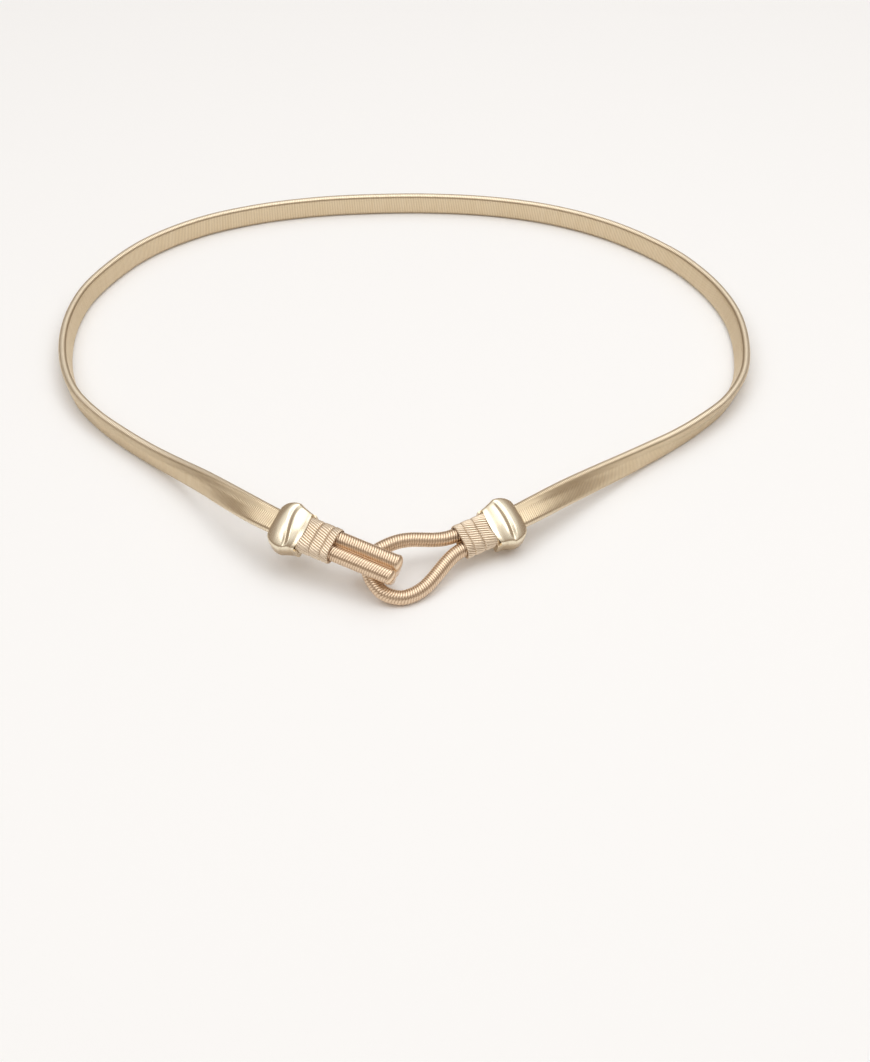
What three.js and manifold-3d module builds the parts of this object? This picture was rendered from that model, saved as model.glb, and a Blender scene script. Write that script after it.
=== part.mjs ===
// Stretch waist belt of flattened gold wire coil, closed at the front by a knotted hook and a
// teardrop loop. Units are millimetres. +Z is up, +X is the viewer's right, the clasp is at -Y.
// The belt stands on the lower edge of its band, with the clasp lying back as it does in use
// on a table.
import * as THREE from 'three';
import Module from 'manifold-3d';

const wasm = await Module();
wasm.setup();
const { Manifold, Mesh: SolidMesh } = wasm;

// Sizes of the wound band
const bandWidth = 8.0;
const bandThickness = 2.8;
const bandSteps = 68;
const bandInCap = 5.8;
const bandLeadOut = 1.2;
const bandEdgeFacets = 5;

// Free play between neighbouring pieces
const play = 0.3;

// Lengths along a clasp half, measured from the mouth of the sleeve, positive toward the hook
const lipX = -10.6;
const capLength = 9.5;
const bandEndX = lipX - capLength + bandInCap;
const shankEndX = lipX - 2.3;

// Sizes of the cast end caps
const earBack = -3.6;
const earLength = 1.1;
const earHalfWidth = 6.55;
const earTop = 0.4;
const earChamfer = 0.7;
const earRoot = 1.0;

// Sizes of the knotted sleeves
const sleeveRows = 3;
const sleeveRowSteps = 3;
const sleeveSeams = [lipX + play, lipX + 4.85, lipX + 8.35, 0.3];
const sleeveRibs = 30;
const sleeveWall = 0.4;
const rowBulge = 0.4;
const sleeveRibHeight = 0.13;

// Sizes of the ribbed hook and loop
const hookBar = 4.8;
const hookSpacing = 4.72;
const hookRibs = 24;
const hookRibbedTo = 19.0;
const loopBar = 4.5;
const loopSpacing = 4.8;
const loopRibs = 100;
const ribDepth = 0.16;
const backFlattening = 0.7;
const creaseShare = 0.42;
const barSides = 10;

// Fineness of hole walls and of measured lines, and how far a cut runs past a face
const holePoints = 24;
const lineSamples = 2000;
const cutPast = 1;

// Where the two clasp halves lie: the mouth of each sleeve, the heading in plan from the X axis,
// the fall toward the hook, and how far the face leans back from upright
const leftHalf = { mouth: [-28.99, -21.45, 12.35], side: 1, heading: 28.1, fall: 4, lean: -62.5 };
const rightHalf = { mouth: [7.47, -14.15, 7.6], side: -1, heading: 30.1, fall: 4, lean: -63.3 };

// Centre line of the free band from the left cap round the back to the right cap.
// Columns: x, y, z of the centre, and lean of the band in degrees, positive with its top outward.
const bandRows = [
  [-52.7, -7.9, 14.0, -53],
  [-61.2, 1.2, 12.1, -35],
  [-70.4, 12.4, 9.0, -17],
  [-79.9, 23.0, 6.1, -4],
  [-89.4, 32.4, 4.5, 2],
  [-98.6, 41.1, 4.1, 4],
  [-107.7, 50.5, 4.1, 8],
  [-116.3, 62.6, 4.05, 12],
  [-122.1, 77.8, 4.0, 14],
  [-124.8, 95.6, 4.0, 15],
  [-124.0, 112.8, 4.05, 13],
  [-119.9, 128.2, 4.1, 10],
  [-105.9, 152.0, 4.1, 5],
  [-87.3, 168.0, 4.1, 2],
  [-66.5, 177.7, 4.0, 0],
  [-44.5, 183.1, 4.0, 0],
  [-22.2, 185.4, 4.0, 0],
  [0.5, 185.6, 4.0, 0],
  [22.9, 183.1, 4.0, 0],
  [44.7, 176.7, 4.1, 1],
  [65.6, 165.2, 4.1, 4],
  [84.1, 148.1, 4.1, 8],
  [92.0, 136.8, 4.1, 11],
  [98.5, 123.5, 4.0, 16],
  [102.6, 108.2, 3.95, 21],
  [103.3, 91.3, 3.9, 24],
  [100.7, 74.1, 3.9, 23],
  [93.6, 59.1, 4.0, 19],
  [84.7, 48.6, 4.05, 13],
  [75.8, 40.2, 4.1, 7],
  [66.6, 32.5, 4.5, -4],
  [57.2, 24.2, 5.6, -15],
  [48.1, 16.0, 7.0, -27],
  [39.2, 7.7, 8.5, -41],
  [30.9, 0.1, 9.4, -54],
];

// Crown of an end cap. Columns: distance from the lip toward the band as a negative number,
// half width, height of the crown over the middle plane, and how far the section bows at its ends.
const capRows = [
  [-9.5, 4.75, 2.0, 0.0],
  [-9.2, 5.5, 2.3, 0.0],
  [-8.4, 6.7, 2.75, 0.2],
  [-7.3, 7.5, 3.2, 0.5],
  [-6.4, 7.8, 3.45, 0.7],
  [-5.7, 7.9, 3.5, 0.8],
  [-5.1, 7.9, 3.25, 0.8],
  [-4.6, 7.8, 3.05, 0.7],
  [-3.9, 7.7, 3.35, 0.5],
  [-2.8, 7.3, 3.7, 0.3],
  [-1.9, 6.9, 3.4, 0.1],
  [-1.1, 6.6, 2.95, 0.0],
  [-0.6, 6.5, 3.1, 0.0],
  [0.0, 6.4, 3.2, 0.0],
];

// Half of a cap's section, from its back edge up to its ridge. Columns: share of the half width,
// inset from there, share of the height of the crown, and height added to that.
const capProfile = [
  [1.0, 0.8, 0.0, -3.7],
  [1.0, 0.0, 0.0, -2.7],
  [1.0, 0.35, 0.0, 1.2],
  [0.92, 0.1, 0.23, 0.92],
  [0.75, 0.0, 0.6, 0.48],
  [0.42, 0.0, 0.94, 0.07],
];

// Directions round one bar of the hook pair, in degrees from straight across
const lobeTurns = [-140, -105, -70, -35, 0, 35, 70, 105, 140];

// Bend of the hook behind the tips. Columns: x and z of the outer face, x and z of the inner
// face, and half width of the pair of bars there.
const hookBendRows = [
  [19.9, 2.1, 18.6, -1.7, 4.7],
  [20.6, 1.2, 18.75, -1.85, 4.5],
  [20.75, 0.0, 18.75, -2.1, 4.15],
  [20.3, -2.2, 18.35, -2.9, 3.5],
  [19.3, -5.6, 17.4, -5.6, 2.7],
  [18.4, -7.5, 16.9, -6.4, 2.4],
  [17.2, -8.2, 16.2, -6.7, 2.3],
  [15.6, -8.3, 15.5, -6.75, 2.3],
  [7.4, -8.3, 7.4, -6.75, 2.3],
  [6.2, -8.1, 6.2, -6.9, 2.0],
  [5.7, -7.7, 5.7, -7.2, 1.6],
];

// Centre line of the teardrop loop. Columns: distance from the mouth, and distance of the upper
// and of the lower strand from the middle line.
const loopRows = [
  [shankEndX, 2.4, 2.4],
  [-6.0, 2.4, 2.4],
  [-1.5, 2.4, 2.4],
  [1.2, 2.5, 2.5],
  [4.0, 2.9, 3.0],
  [7.0, 3.9, 4.1],
  [10.0, 5.3, 5.5],
  [13.2, 6.75, 7.0],
  [16.8, 7.75, 8.35],
  [20.5, 8.0, 8.9],
  [24.0, 7.7, 8.5],
  [26.8, 6.5, 6.9],
  [28.8, 4.3, 4.5],
  [29.6, 1.4, 1.6],
];

// Finishes
const coilFinish = new THREE.MeshStandardMaterial({ color: 0xc9b488, roughness: 0.42, metalness: 1.0 });
const polishedFinish = new THREE.MeshStandardMaterial({ color: 0xe6d3a8, roughness: 0.16, metalness: 1.0 });
const roseFinish = new THREE.MeshStandardMaterial({ color: 0xdcb88c, roughness: 0.28, metalness: 1.0 });

function axesOfHalf(half) {
  const heading = THREE.MathUtils.degToRad(half.heading);
  const fall = THREE.MathUtils.degToRad(half.fall);
  const lean = THREE.MathUtils.degToRad(half.lean);
  const along = new THREE.Vector3(
    half.side * Math.cos(fall) * Math.cos(heading),
    -Math.cos(fall) * Math.sin(heading),
    -Math.sin(fall),
  );
  const outward = new THREE.Vector3(-half.side * Math.sin(heading), -Math.cos(heading), 0);
  const upright = new THREE.Vector3().crossVectors(outward, along).multiplyScalar(half.side).normalize();
  const across = upright.clone().multiplyScalar(Math.cos(lean)).addScaledVector(outward, Math.sin(lean));
  const face = outward.clone().multiplyScalar(Math.cos(lean)).addScaledVector(upright, -Math.sin(lean));
  return { along, across, face };
}

function matrixOfHalf(half) {
  const { along, across, face } = axesOfHalf(half);
  const turned = across.clone().multiplyScalar(half.side);
  const matrix = new THREE.Matrix4().makeBasis(along, turned, face);
  matrix.setPosition(...half.mouth);
  return matrix;
}

function pointOnAxis(half, distance) {
  const { along } = axesOfHalf(half);
  return new THREE.Vector3(...half.mouth).addScaledVector(along, distance);
}

function signedVolume(corners, faces) {
  let total = 0;
  for (const [a, b, c] of faces) {
    total += corners[a].dot(new THREE.Vector3().crossVectors(corners[b], corners[c]));
  }
  return total / 6;
}

// A closed skin through rings of points, with a fan over each end
function loft(rings) {
  const count = rings[0].length;
  const corners = rings.flat();
  const faces = [];
  for (let i = 0; i < rings.length - 1; i += 1) {
    for (let j = 0; j < count; j += 1) {
      const a = i * count + j;
      const b = i * count + (j + 1) % count;
      faces.push([a, b, b + count], [a, b + count, a + count]);
    }
  }
  const middleOf = (ring) => ring.reduce((sum, p) => sum.add(p), new THREE.Vector3()).divideScalar(count);
  const first = corners.push(middleOf(rings[0])) - 1;
  const last = corners.push(middleOf(rings[rings.length - 1])) - 1;
  const lastRing = (rings.length - 1) * count;
  for (let j = 0; j < count; j += 1) {
    const next = (j + 1) % count;
    faces.push([first, next, j], [last, lastRing + j, lastRing + next]);
  }
  if (signedVolume(corners, faces) < 0) {
    for (const face of faces) face.reverse();
  }
  const geometry = new THREE.BufferGeometry();
  const flat = corners.flatMap((p) => [p.x, p.y, p.z]);
  geometry.setAttribute('position', new THREE.Float32BufferAttribute(flat, 3));
  geometry.setIndex(faces.flat());
  return geometry;
}

function toSolid(geometry) {
  return new Manifold(new SolidMesh({
    numProp: 3,
    vertProperties: new Float32Array(geometry.attributes.position.array),
    triVerts: new Uint32Array(geometry.index.array),
  }));
}

function toGeometry(solid) {
  const mesh = solid.getMesh();
  const geometry = new THREE.BufferGeometry();
  geometry.setAttribute('position', new THREE.BufferAttribute(new Float32Array(mesh.vertProperties), 3));
  geometry.setIndex(new THREE.BufferAttribute(new Uint32Array(mesh.triVerts), 1));
  return geometry;
}

// Outline of the flattened coil in its own section plane: x across the thickness, y across the
// width. The middle facet of each edge is flat, so that the belt can stand on it.
function coilOutline(width, thickness) {
  const round = thickness / 2;
  const facetTurn = Math.PI / bandEdgeFacets;
  const rise = round / Math.sin(2 * facetTurn);
  const outline = [];
  for (const end of [1, -1]) {
    for (let k = 0; k <= bandEdgeFacets; k += 1) {
      const turn = k * facetTurn;
      const x = end * round * Math.cos(turn);
      const y = end * (width / 2 - round + rise * Math.sin(turn));
      outline.push([x, y]);
    }
  }
  return outline;
}

// Outline with two straight sides and two round ends, as points spaced evenly along it.
// The shift moves every point along the outline, the swell moves it outward.
function ovalOutline(halfWidth, halfThickness, points, shift, swellOf) {
  const straight = 2 * (halfWidth - halfThickness);
  const arc = Math.PI * halfThickness;
  const total = 2 * (straight + arc);
  const outline = [];
  for (let k = 0; k < points; k += 1) {
    const swell = swellOf(k);
    let s = (k / points) * total + shift;
    s = ((s % total) + total) % total;
    const flip = s >= straight + arc ? -1 : 1;
    s %= straight + arc;
    let y = straight / 2 - s;
    let z = halfThickness + swell;
    if (s > straight) {
      const turn = (s - straight) / halfThickness;
      y = -straight / 2 - (halfThickness + swell) * Math.sin(turn);
      z = (halfThickness + swell) * Math.cos(turn);
    }
    outline.push([flip * y, flip * z]);
  }
  return outline;
}

function prism(outline, fromX, toX) {
  const ringAt = (x) => outline.map(([y, z]) => new THREE.Vector3(x, y, z));
  return loft([ringAt(fromX), ringAt(toX)]);
}

// The wound band, swept along its centre line with the lean of each row
function makeBand() {
  const endOf = (half, distance) => ({ at: pointOnAxis(half, distance), lean: half.lean });
  const rows = [
    endOf(leftHalf, bandEndX),
    endOf(leftHalf, bandEndX - bandInCap / 2),
    endOf(leftHalf, bandEndX - bandInCap),
    endOf(leftHalf, bandEndX - bandInCap - bandLeadOut),
    ...bandRows.map(([x, y, z, lean]) => ({ at: new THREE.Vector3(x, y, z), lean })),
    endOf(rightHalf, bandEndX - bandInCap - bandLeadOut),
    endOf(rightHalf, bandEndX - bandInCap),
    endOf(rightHalf, bandEndX - bandInCap / 2),
    endOf(rightHalf, bandEndX),
  ];
  const line = new THREE.CatmullRomCurve3(rows.map((row) => row.at), false, 'centripetal');
  line.arcLengthDivisions = lineSamples;
  const leanPoints = rows.map((row) => new THREE.Vector3(row.lean, 0, 0));
  const leanLine = new THREE.CatmullRomCurve3(leanPoints, false, 'catmullrom', 0.5);
  const outline = coilOutline(bandWidth, bandThickness);
  const rings = [];
  for (let i = 0; i <= bandSteps; i += 1) {
    const t = line.getUtoTmapping(i / bandSteps);
    const at = line.getPoint(t);
    const tangent = line.getTangent(t);
    const lean = THREE.MathUtils.degToRad(leanLine.getPoint(t).x);
    const outward = new THREE.Vector3(-tangent.y, tangent.x, 0).normalize();
    const upright = new THREE.Vector3().crossVectors(tangent, outward).normalize();
    const across = upright.clone().multiplyScalar(Math.cos(lean)).addScaledVector(outward, Math.sin(lean));
    const face = outward.clone().multiplyScalar(Math.cos(lean)).addScaledVector(upright, -Math.sin(lean));
    rings.push(outline.map(([x, y]) => at.clone().addScaledVector(face, x).addScaledVector(across, y)));
  }
  return loft(rings);
}

// One section of an end cap, in the plane across the clasp half
function capSection([fromLip, halfWidth, crown, bow]) {
  const side = capProfile.map(([share, inset, rise, lift]) => [
    share * halfWidth - inset,
    rise * crown + lift,
  ]);
  const mirrored = side.map(([y, z]) => [-y, z]).reverse();
  const outline = [...side, [0, crown], ...mirrored];
  return outline.map(([y, z]) => {
    const reach = (y / halfWidth) ** 2;
    return new THREE.Vector3(lipX + fromLip + bow * reach, y, z);
  });
}

// A cast end cap with its crown, the two ears beside the sleeve, and a socket at each end
function makeCap(shankHalfWidth, shankHalfThickness) {
  const crown = toSolid(loft(capRows.map(capSection)));
  const earOutline = [
    [earHalfWidth - earChamfer, earBack],
    [earHalfWidth, earBack + earChamfer],
    [earHalfWidth, earTop - earChamfer],
    [earHalfWidth - earChamfer, earTop],
    [-earHalfWidth + earChamfer, earTop],
    [-earHalfWidth, earTop - earChamfer],
    [-earHalfWidth, earBack + earChamfer],
    [-earHalfWidth + earChamfer, earBack],
  ];
  const ears = toSolid(prism(earOutline, lipX - earRoot, lipX + earLength));
  const bandOutline = coilOutline(bandWidth + 2 * play, bandThickness + 2 * play);
  const socketMouthX = lipX - capLength - cutPast;
  const socketOutline = bandOutline.map(([x, y]) => [y, x]);
  const bandSocket = toSolid(prism(socketOutline, socketMouthX, bandEndX + play));
  const still = () => 0;
  const holeOutline = (room) => ovalOutline(
    shankHalfWidth + room,
    shankHalfThickness + room,
    holePoints,
    0,
    still,
  );
  const shankSocket = toSolid(prism(holeOutline(play), shankEndX - play, lipX + cutPast));
  const sleeveOutline = holeOutline(play + sleeveWall + rowBulge + play);
  const sleeveRoom = toSolid(prism(sleeveOutline, lipX, lipX + earLength + cutPast));
  return toGeometry(crown.add(ears).subtract(bandSocket).subtract(shankSocket).subtract(sleeveRoom));
}

// A sleeve wound from three turns of ribbed cord: each turn swells, its ribs lie along the belt
function makeSleeve(shankHalfWidth, shankHalfThickness, slant) {
  const halfWidth = shankHalfWidth + play + sleeveWall;
  const halfThickness = shankHalfThickness + play + sleeveWall;
  const points = 2 * sleeveRibs;
  const perimeter = 4 * (halfWidth - halfThickness) + 2 * Math.PI * halfThickness;
  const rings = [];
  for (let i = 0; i <= sleeveRows * sleeveRowSteps; i += 1) {
    const row = Math.min(Math.floor(i / sleeveRowSteps), sleeveRows - 1);
    const inRow = i / sleeveRowSteps - row;
    const swell = rowBulge * Math.sin(Math.PI * inRow);
    const ribHeight = i % sleeveRowSteps === 0 ? sleeveRibHeight / 2 : sleeveRibHeight;
    const shift = slant * (i / sleeveRowSteps) * (perimeter / sleeveRibs);
    const swellOf = (k) => swell + (k % 2 === 0 ? ribHeight : 0);
    const x = THREE.MathUtils.lerp(sleeveSeams[row], sleeveSeams[row + 1], inRow);
    const outline = ovalOutline(halfWidth, halfThickness, points, shift, swellOf);
    rings.push(outline.map(([y, z]) => new THREE.Vector3(x, y, z)));
  }
  const still = () => 0;
  const holeOutline = ovalOutline(shankHalfWidth + play, shankHalfThickness + play, holePoints, 0, still);
  const hole = toSolid(prism(holeOutline, lipX - cutPast, sleeveSeams[sleeveRows] + cutPast));
  return toGeometry(toSolid(loft(rings)).subtract(hole));
}

// One section through the pair of hook bars: two round lobes with a crease between them
function pairSection(x, z, upX, upZ, lobe, spread, thick, back) {
  const crease = creaseShare * thick;
  const right = lobeTurns.map((turn) => {
    const angle = THREE.MathUtils.degToRad(turn);
    const rise = Math.sin(angle) * (turn < 0 ? back : thick);
    return [spread + lobe * Math.cos(angle), rise];
  });
  const left = right.map(([y, h]) => [-y, h]).reverse();
  const outline = [[0, -crease * (back / thick)], ...right, [0, crease], ...left];
  return outline.map(([y, h]) => new THREE.Vector3(x + h * upX, y, z + h * upZ));
}

// The hook: two ribbed bars side by side that turn back behind their tips
function makeHook() {
  const rings = [];
  const valley = hookBar / 2 - ribDepth;
  const crest = hookBar / 2;
  const flat = valley * backFlattening;
  const straight = (x, radius) => pairSection(x, 0, 0, 1, radius, hookSpacing / 2, radius, flat);
  rings.push(straight(shankEndX, valley));
  const pitch = hookRibbedTo / hookRibs;
  for (let i = 0; i < hookRibs; i += 1) {
    rings.push(straight(i * pitch, valley), straight((i + 0.5) * pitch, crest));
  }
  rings.push(straight(hookRibbedTo, valley));
  for (const [outerX, outerZ, innerX, innerZ, halfWidth] of hookBendRows) {
    const middleX = (outerX + innerX) / 2;
    const middleZ = (outerZ + innerZ) / 2;
    const thick = Math.hypot(outerX - innerX, outerZ - innerZ) / 2;
    const upX = (outerX - innerX) / (2 * thick);
    const upZ = (outerZ - innerZ) / (2 * thick);
    const lobe = halfWidth / 2;
    rings.push(pairSection(middleX, middleZ, upX, upZ, lobe, halfWidth - lobe, thick, thick));
  }
  return loft(rings);
}

// The teardrop loop: one ribbed bar whose two ends lie side by side in the right sleeve
function makeLoop() {
  const upper = loopRows.map(([x, y]) => new THREE.Vector3(x, -y, 0));
  const lower = loopRows.map(([x, , y]) => new THREE.Vector3(x, y, 0)).reverse();
  const line = new THREE.CatmullRomCurve3([...upper, ...lower], false, 'centripetal');
  line.arcLengthDivisions = lineSamples;
  const total = line.getLength();
  const hidden = -lipX;
  const crest = loopBar / 2;
  const valley = crest - ribDepth;
  const ringAt = (distance, radius) => {
    const u = THREE.MathUtils.clamp(distance / total, 0, 1);
    const at = line.getPointAt(u);
    const tangent = line.getTangentAt(u);
    const side = new THREE.Vector3(-tangent.y, tangent.x, 0).normalize();
    const ring = [];
    for (let k = 0; k < barSides; k += 1) {
      const angle = (k + 0.5) * (2 * Math.PI / barSides);
      const point = at.clone().addScaledVector(side, radius * Math.cos(angle));
      const rise = Math.sin(angle);
      point.z += rise > 0 ? radius * rise : valley * backFlattening * rise;
      ring.push(point);
    }
    return ring;
  };
  const pitch = (total - 2 * hidden) / loopRibs;
  const rings = [ringAt(0, valley)];
  for (let i = 0; i < loopRibs; i += 1) {
    rings.push(ringAt(hidden + i * pitch, valley), ringAt(hidden + (i + 0.5) * pitch, crest));
  }
  rings.push(ringAt(total - hidden, valley), ringAt(total, valley));
  return loft(rings);
}

function addPiece(group, name, geometry, finish, half) {
  if (half) geometry.applyMatrix4(matrixOfHalf(half));
  geometry.computeVertexNormals();
  const mesh = new THREE.Mesh(geometry, finish);
  mesh.name = name;
  group.add(mesh);
}

// Moves the belt so that the middle of its footprint is the origin and it stands on Z = 0
function centreOnFootprint(group) {
  const box = new THREE.Box3();
  for (const mesh of group.children) {
    mesh.geometry.computeBoundingBox();
    box.union(mesh.geometry.boundingBox);
  }
  const middle = box.getCenter(new THREE.Vector3());
  for (const mesh of group.children) {
    mesh.geometry.translate(-middle.x, -middle.y, -box.min.z);
  }
}

const belt = new THREE.Group();
belt.name = 'knot_belt';
const hookHalfWidth = (hookSpacing + hookBar) / 2;
const hookHalfThickness = hookBar / 2;
const loopHalfWidth = (loopSpacing + loopBar) / 2;
const loopHalfThickness = loopBar / 2;
const leftCap = makeCap(hookHalfWidth, hookHalfThickness);
const rightCap = makeCap(loopHalfWidth, loopHalfThickness);
addPiece(belt, 'coil_band', makeBand(), coilFinish, null);
addPiece(belt, 'left_end_cap', leftCap, polishedFinish, leftHalf);
addPiece(belt, 'right_end_cap', rightCap, polishedFinish, rightHalf);
addPiece(belt, 'left_sleeve', makeSleeve(hookHalfWidth, hookHalfThickness, 1), roseFinish, leftHalf);
addPiece(belt, 'right_sleeve', makeSleeve(loopHalfWidth, loopHalfThickness, -1), roseFinish, rightHalf);
addPiece(belt, 'hook', makeHook(), roseFinish, leftHalf);
addPiece(belt, 'loop', makeLoop(), roseFinish, rightHalf);
centreOnFootprint(belt);

export default belt;
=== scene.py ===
import math

import bpy
import numpy as np
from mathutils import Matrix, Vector


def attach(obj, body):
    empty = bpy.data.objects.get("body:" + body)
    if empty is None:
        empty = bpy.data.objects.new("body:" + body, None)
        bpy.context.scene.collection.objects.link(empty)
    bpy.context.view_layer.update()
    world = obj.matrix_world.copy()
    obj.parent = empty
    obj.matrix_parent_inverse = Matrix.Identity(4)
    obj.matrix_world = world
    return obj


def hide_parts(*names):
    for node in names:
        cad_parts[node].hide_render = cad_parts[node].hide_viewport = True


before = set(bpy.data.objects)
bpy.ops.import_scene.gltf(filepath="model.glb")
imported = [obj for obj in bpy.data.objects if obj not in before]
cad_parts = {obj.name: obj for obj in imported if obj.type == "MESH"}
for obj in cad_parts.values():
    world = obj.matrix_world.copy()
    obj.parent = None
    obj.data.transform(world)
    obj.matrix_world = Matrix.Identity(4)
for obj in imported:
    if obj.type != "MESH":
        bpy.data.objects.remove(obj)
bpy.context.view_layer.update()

# The belt's sizes are in millimetres and become metres as each mesh is made.
MM = 0.001

# The drawing's zero point lies in front of the waist: this is the middle of the belt's outline in
# it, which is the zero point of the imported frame.
OUTLINE_MIDDLE = np.array([-10.516, 76.072, -0.008])

# Least length that a division allows, and how far a skin shrinks to close at its end
TINY = 1e-9
CLOSED_SHARE = 0.02

# Sizes of the wound band
BAND_WIDTH = 8.0
BAND_THICKNESS = 2.8
BAND_IN_CAP = 5.8
BAND_LEAD_OUT = 1.2
WIRE_PITCH = 0.63
WIRE_DEPTH = 0.13
PARALLEL_WIRES = 3
STEPS_PER_WIRE = 4
BAND_EDGE_STEPS = 8
BAND_FACE_STEPS = 4
BAND_LINE_STEPS = 160
BAND_TANGENT_STEP = 0.2
BAND_TONE_SEED = 7

# Lengths along a clasp half, from a zero point just inside the mouth of the sleeve, positive
# toward the hook
PLAY = 0.3
LIP_X = -10.6
CAP_LENGTH = 9.5
BAND_END_X = LIP_X - CAP_LENGTH + BAND_IN_CAP
SHANK_END_X = LIP_X - 2.3

# Sizes of the cast end caps. A pair says where a change begins and ends: the front of a cap by
# height, and the fading of its valley by the share of the half width.
CAP_ROW_STEPS = 7
CAP_CROWN_STEPS = 26
CAP_CREASE = 1.2
CAP_GENTLE_FALL = 0.66
CAP_RIM_TIGHTNESS = 32
CAP_SHARP_DEGREES = 32
CAP_FRONT = (-0.5, 0.5)
VALLEY_DEPTH = 0.42
VALLEY_STEEP_SIDE = 0.9
VALLEY_EASY_SIDE = 1.5
VALLEY_FADE = (0.6, 1.0)
LIP_BOW = 1.2
LIP_BOW_REACH = 2.5
LIP_FACE_INSET = 0.02
EAR_LENGTH = 1.2
EAR_ROOT = 0.5
EAR_GAP = 0.05
EAR_ROUNDING = 0.3

# Painted shade of a cap, from 0 to 1, with its places and widths along the cap in mm
VALLEY_PAINTED_SHADE = 0.3
VALLEY_PAINTED_SHADE_WIDTH = 0.4
LIP_PAINTED_SHADE = 0.4
LIP_PAINTED_SHADE_WIDTH = 0.5
LIP_PAINTED_SHADE_FROM_VALLEY = 3.3
BAND_SIDE_PAINTED_SHADE = 0.35
BAND_SIDE_PAINTED_SHADE_ENDS = (-9.0, -5.5)
WALL_PAINTED_SHADE_HEIGHTS = (0.8, 1.3)
EAR_PAINTED_SHADE = 0.7

# Sizes of the knotted sleeves. The seams are the places where their turns begin and end, and the
# front of a sleeve begins and ends at shares of its half thickness.
SLEEVE_SEAMS = (LIP_X + 0.03, LIP_X + 4.85, LIP_X + 8.35, 0.3)
SLEEVE_NARROWER = 0.1
SLEEVE_WALL = 0.25
TURN_BULGE = 0.4
SLEEVE_STEPS_PER_RIB = 8
SLEEVE_STEPS_PER_TURN = 16
TURN_ROUNDNESS = 5
FIRST_EDGE_ROUNDNESS = 16
SEAM_RIB_DEPTH = 0.1
SWELL_RIB_DEPTH = 0.24
SLEEVE_FRONT = (-0.15, 0.2)
SLEEVE_HOLE_RINGS = 4

# Sizes of the ribbed hook and loop. A pair says where the ribs begin or end: along the bar in
# mm, and round it by the sine of the angle.
HOOK_BAR = 4.8
HOOK_SPACING = 4.72
HOOK_PITCH = 0.775
HOOK_STRAIGHT_TO = 19.0
HOOK_RIBBED_TO = 20.1
LOOP_BAR = 4.5
LOOP_SPACING = 4.8
LOOP_PITCH = 0.767
LOOP_TWIST = 0.45
RIB_DEPTH = 0.19
STEPS_PER_RIB = 9
RIB_FRONT = (0.0, 0.25)
PLAIN_SKIN_SHARE = 0.8
BACK_FLATTENING = 0.7
HOOK_CREASE_DEGREES = 163
HOOK_SECTION_POINTS = 61
HOOK_BEND_STEPS = 12
HOOK_BEND_LEAST_STEP = 0.01
HOOK_HIDDEN_GAP = 0.1
HOOK_SIDE_FLATTENING = 0.8
HOOK_RIBS_FADE_IN = (-0.5, -0.2)
HOOK_RIBS_FADE_OUT = (HOOK_RIBBED_TO, HOOK_RIBBED_TO + 0.3)
LOOP_SECTION_POINTS = 40
LOOP_LINE_STEPS = 120
LOOP_TANGENT_STEP = 0.1
LOOP_RIBS_FADE_IN = (-0.1, 0.2)
LOOP_RIBS_LEAD = 0.5
HIDDEN_RINGS = 6

# Where the two clasp halves lie: zero point in the sleeve's mouth, side, heading in plan, fall
# and lean in degrees
LEFT_HALF = {"mouth": (-28.99, -21.45, 12.35), "side": 1, "heading": 28.1, "fall": 4, "lean": -62.5}
RIGHT_HALF = {"mouth": (7.47, -14.15, 7.6), "side": -1, "heading": 30.1, "fall": 4, "lean": -63.3}

# How the two caps and the two sleeves differ: where the valley lies from the lip, its slant, how
# far each piece sits across its half, ribs to a turn, twist of a rib and bow of the seams
LEFT_CAP = {"valley_place": -4.4, "slant": -0.24, "aside": -0.2}
RIGHT_CAP = {"valley_place": -5.0, "slant": 0.03, "aside": 0.0}
LEFT_SLEEVE = {"ribs": 36, "twist": 0.72, "bow": -0.3, "aside": -0.25}
RIGHT_SLEEVE = {"ribs": 35, "twist": 0.85, "bow": 0.1, "aside": 0.1}

# Centre line of the free band from the left cap round the back to the right cap.
# Columns: x, y, z of the centre, and lean of the band in degrees, positive with its top outward.
BAND_ROWS = [
    (-52.7, -7.9, 14.0, -53),
    (-61.2, 1.2, 12.1, -35),
    (-70.4, 12.4, 9.0, -17),
    (-79.9, 23.0, 6.1, -4),
    (-89.4, 32.4, 4.5, 2),
    (-98.6, 41.1, 4.1, 4),
    (-107.7, 50.5, 4.1, 8),
    (-116.3, 62.6, 4.05, 12),
    (-122.1, 77.8, 4.0, 14),
    (-124.8, 95.6, 4.0, 15),
    (-124.0, 112.8, 4.05, 13),
    (-119.9, 128.2, 4.1, 10),
    (-105.9, 152.0, 4.1, 5),
    (-87.3, 168.0, 4.1, 2),
    (-66.5, 177.7, 4.0, 0),
    (-44.5, 183.1, 4.0, 0),
    (-22.2, 185.4, 4.0, 0),
    (0.5, 185.6, 4.0, 0),
    (22.9, 183.1, 4.0, 0),
    (44.7, 176.7, 4.1, 1),
    (65.6, 165.2, 4.1, 4),
    (84.1, 148.1, 4.1, 8),
    (92.0, 136.8, 4.1, 11),
    (98.5, 123.5, 4.0, 16),
    (102.6, 108.2, 3.95, 21),
    (103.3, 91.3, 3.9, 24),
    (100.7, 74.1, 3.9, 23),
    (93.6, 59.1, 4.0, 19),
    (84.7, 48.6, 4.05, 13),
    (75.8, 40.2, 4.1, 7),
    (66.6, 32.5, 4.5, -4),
    (57.2, 24.2, 5.6, -15),
    (48.1, 16.0, 7.0, -27),
    (39.2, 7.7, 8.5, -41),
    (30.9, 0.1, 9.4, -54),
]

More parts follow.
